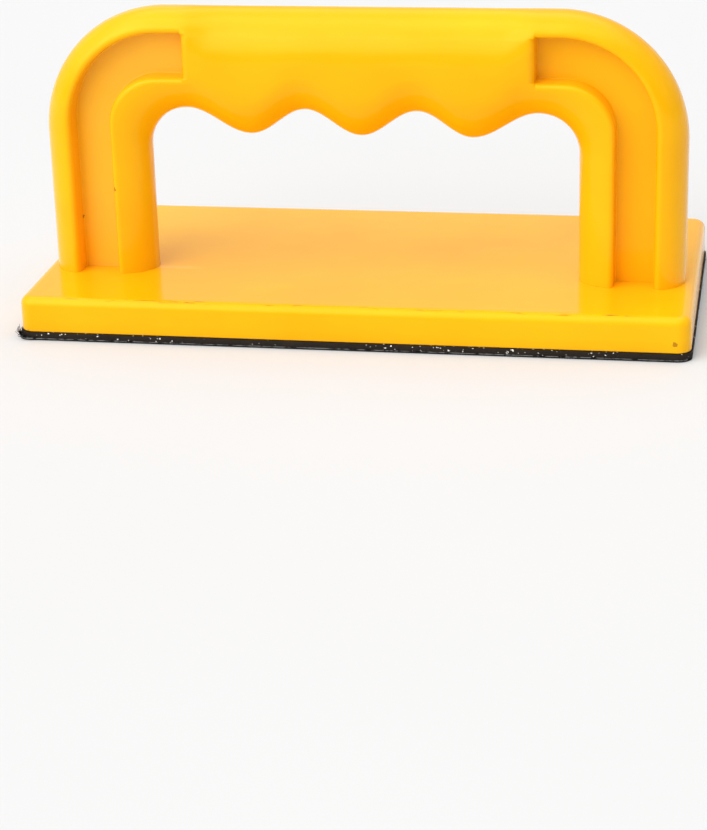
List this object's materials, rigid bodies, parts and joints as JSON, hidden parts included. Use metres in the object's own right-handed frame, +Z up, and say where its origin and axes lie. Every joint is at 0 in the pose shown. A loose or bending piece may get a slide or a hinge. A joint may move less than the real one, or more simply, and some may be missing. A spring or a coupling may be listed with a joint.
{
  "type": "sanding block",
  "caption": "Rectangular hand sanding block with a bow handle, finger grooves under the grip, and a thin foam sole faced with hook fabric for abrasive sheets.",
  "frame": {"origin": "middle of the working face, the underside of the hook sheet", "axes": "+X along the block, -Y towards the long side that the handle stands nearer to, +Z up through the handle"},
  "size_m": [0.211, 0.106, 0.099],
  "materials": {
    "yellow_abs": "glossy moulded ABS, warm yellow through the wall, with faint flow marks and handling scratches",
    "grey_board": "flat pressed board, matt",
    "black_foam": "closed-cell foam with a fine cut edge, matt",
    "black_hook_sheet": "knitted hook fabric, matt, with a short nap of hooks",
    "clear_glue": "dried contact glue, slightly cloudy",
    "zinc_steel": "bright zinc plate"
  },
  "bodies": {
    "root": {"handle": "yellow_abs", "base_plate": "yellow_abs", "backing_board": "grey_board", "foam_pad": "black_foam", "hook_sheet": "black_hook_sheet", "foam_glue_film": "clear_glue", "hook_glue_film": "clear_glue", "handle_screw_1": "zinc_steel", "handle_screw_2": "zinc_steel", "handle_screw_3": "zinc_steel", "handle_screw_4": "zinc_steel", "board_screw_1": "zinc_steel", "board_screw_2": "zinc_steel", "board_screw_3": "zinc_steel", "board_screw_4": "zinc_steel", "board_screw_5": "zinc_steel", "board_screw_6": "zinc_steel"}
  },
  "joints": []
}
